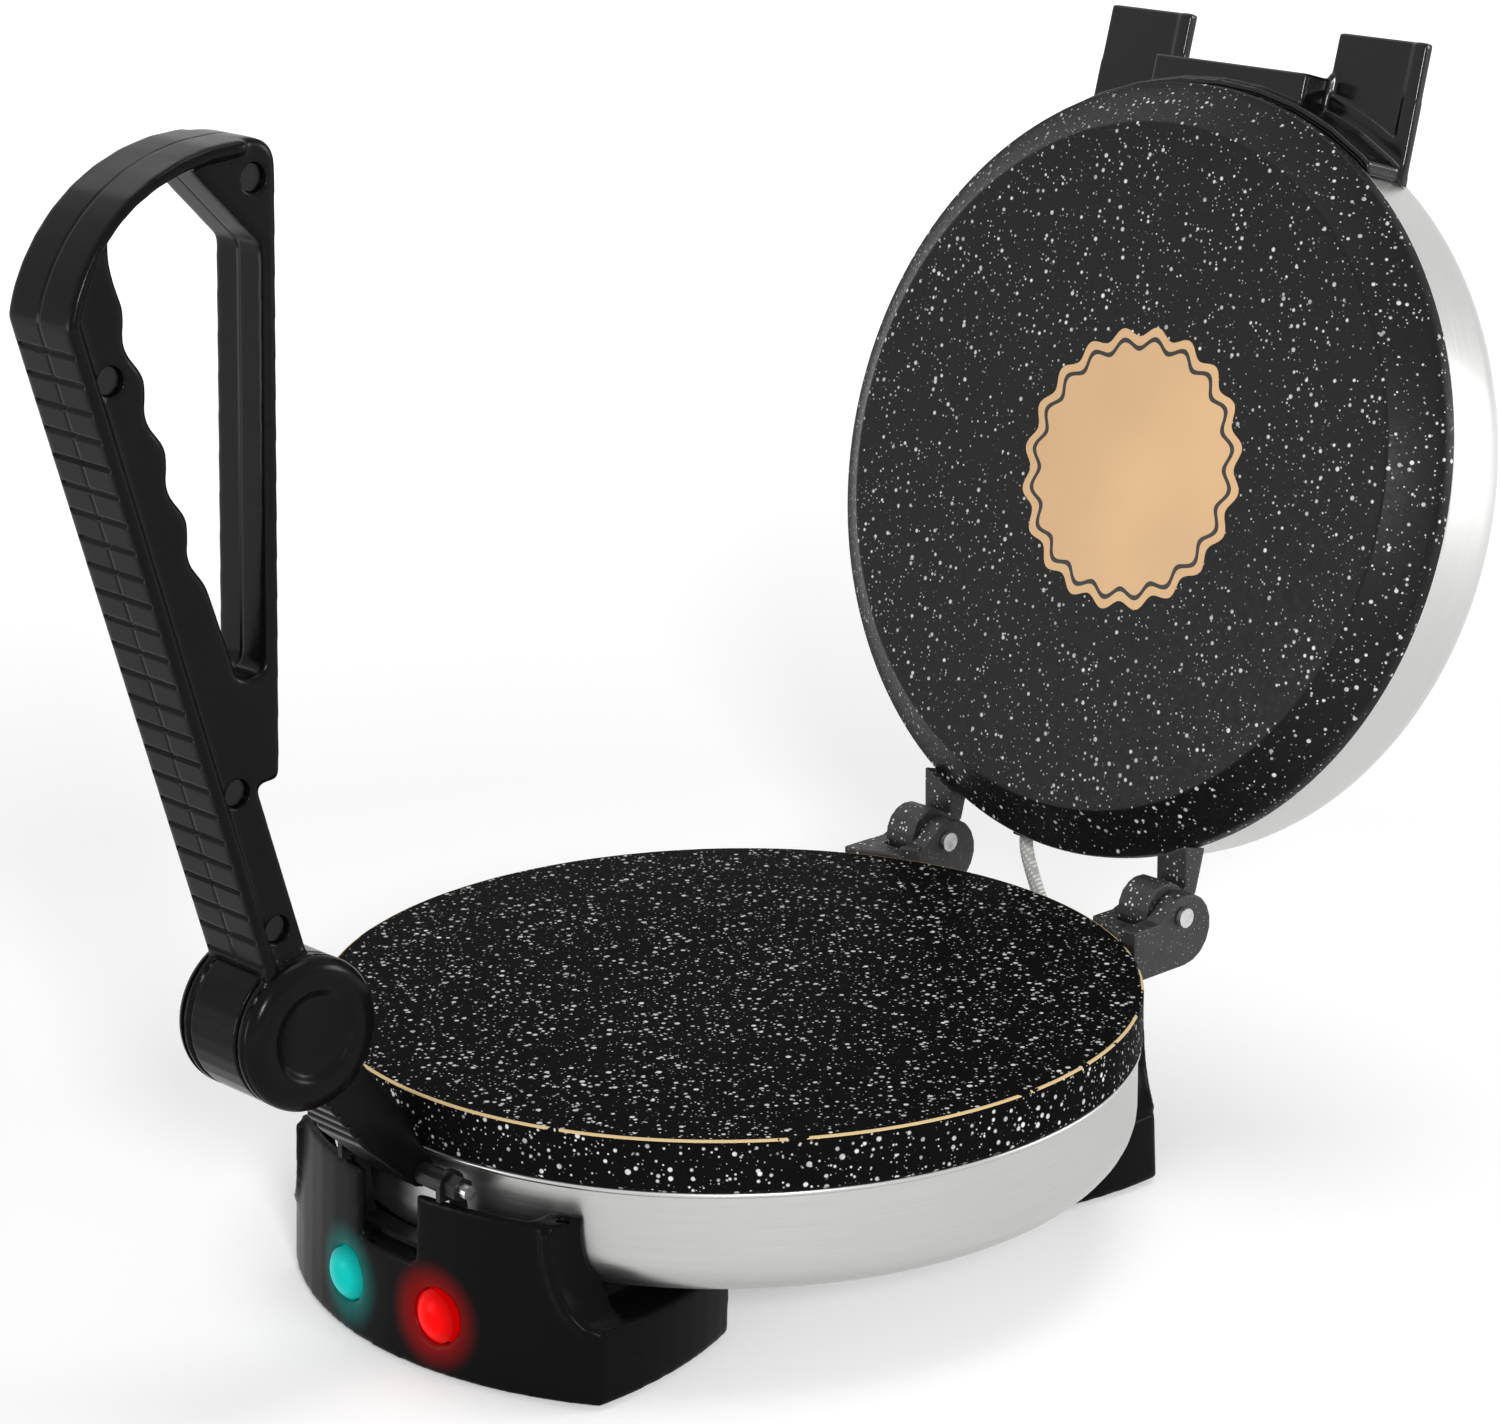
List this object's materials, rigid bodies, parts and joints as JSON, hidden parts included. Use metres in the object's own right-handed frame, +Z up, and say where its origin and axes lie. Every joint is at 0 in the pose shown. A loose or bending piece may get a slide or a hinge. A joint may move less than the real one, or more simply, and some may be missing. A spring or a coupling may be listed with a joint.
{
  "type": "electric roti maker",
  "caption": "Electric roti maker with a hinged lid, granite-coated plates, a folding lever handle and two lamps in the front foot.",
  "frame": {"origin": "Middle of the whole machine's box in plan, on the plane of the counter, with the lid open as in the picture.", "axes": "+Z is up, +Y points to the rear where the lid hinges, +X to the right of a person in front of the machine."},
  "size_m": [0.22, 0.42, 0.317],
  "materials": {
    "black_plastic": "glossy black moulded phenolic",
    "granite_coating": "black non-stick coating with white granite speckles, on a casting",
    "brushed_steel": "satin stainless steel sheet",
    "coated_casting": "black coated casting with light speckles",
    "black_rubber": "soft matt rubber",
    "zinc_plated_steel": "bright zinc plating",
    "black_steel": "blackened steel",
    "insulating_wool": "pressed mineral wool",
    "steatite": "unglazed technical ceramic",
    "gold_badge": "satin gold lacquer",
    "lead_sleeving": "woven glass fibre sleeving",
    "green_lens": "clear green lens, lit",
    "red_lens": "clear red lens, lit",
    "lamp_glass": "small glass envelope"
  },
  "bodies": {
    "base": {"lower_pan": "brushed_steel", "lower_plate": "granite_coating", "lower_heating_element": "black_steel", "lower_press_plate": "zinc_plated_steel", "lower_insulation": "insulating_wool", "thermostat": "steatite", "base_bridge": "black_steel", "plate_centre_bolt": "zinc_plated_steel", "front_foot": "black_plastic", "front_foot_cover": "black_plastic", "green_lamp_lens": "green_lens", "green_neon_lamp": "lamp_glass", "red_lamp_lens": "red_lens", "red_neon_lamp": "lamp_glass", "terminal_block": "steatite", "rear_foot": "black_plastic", "rear_foot_cover": "black_plastic", "cord_inlet_bush": "black_rubber", "rubber_foot_front_left": "black_rubber", "rubber_foot_rear_left": "black_rubber", "rubber_foot_front_right": "black_rubber", "rubber_foot_rear_right": "black_rubber", "lever_bracket": "black_steel", "lever_pivot_pin": "zinc_plated_steel", "lever_pivot_nut": "zinc_plated_steel", "lever_spacer_right": "zinc_plated_steel", "lever_spacer_left": "zinc_plated_steel", "hinge_lug_right": "coated_casting", "hinge_lug_left": "coated_casting", "hinge_pin_right": "zinc_plated_steel", "hinge_pin_left": "zinc_plated_steel", "hinge_rivet_right": "zinc_plated_steel", "hinge_rivet_left": "zinc_plated_steel", "lead_bush_pan": "black_rubber", "lid_lead": "lead_sleeving"},
    "lid": {"upper_plate": "granite_coating", "badge_plate": "gold_badge", "upper_shell": "brushed_steel", "upper_heating_element": "black_steel", "upper_press_plate": "zinc_plated_steel", "upper_insulation": "insulating_wool", "upper_centre_bolt": "zinc_plated_steel", "hinge_arm_right": "coated_casting", "hinge_arm_left": "coated_casting", "lid_bracket": "black_plastic", "lid_bracket_screw_right": "zinc_plated_steel", "lid_bracket_screw_left": "zinc_plated_steel", "lead_bush_lid": "black_rubber"},
    "lever": {"lever_arm": "black_plastic"},
    "handle": {"handle_half_right": "black_plastic", "handle_half_left": "black_plastic", "barrel_cap_right": "black_plastic", "barrel_cap_left": "black_plastic", "barrel_pin": "zinc_plated_steel", "handle_screw_top": "black_steel", "handle_screw_grip": "black_steel", "handle_screw_guard": "black_steel", "handle_screw_stem": "black_steel"}
  },
  "joints": [
    {"name": "lid_hinge", "type": "hinge", "parent": "base", "child": "lid", "pos_m": [0, 0.11236, 0.0734], "axis": [1, 0, 0], "range_deg": [0, 105.9], "deforming": ["lid_lead"]},
    {"name": "lever_pivot", "type": "hinge", "parent": "base", "child": "lever", "pos_m": [0, -0.11764, 0.0515], "axis": [-1, 0, 0], "range_deg": [0, 14.7]},
    {"name": "handle_pivot", "type": "hinge", "parent": "lever", "child": "handle", "pos_m": [0, -0.15354, 0.0996], "axis": [-1, 0, 0], "range_deg": [0, 65.5]}
  ]
}
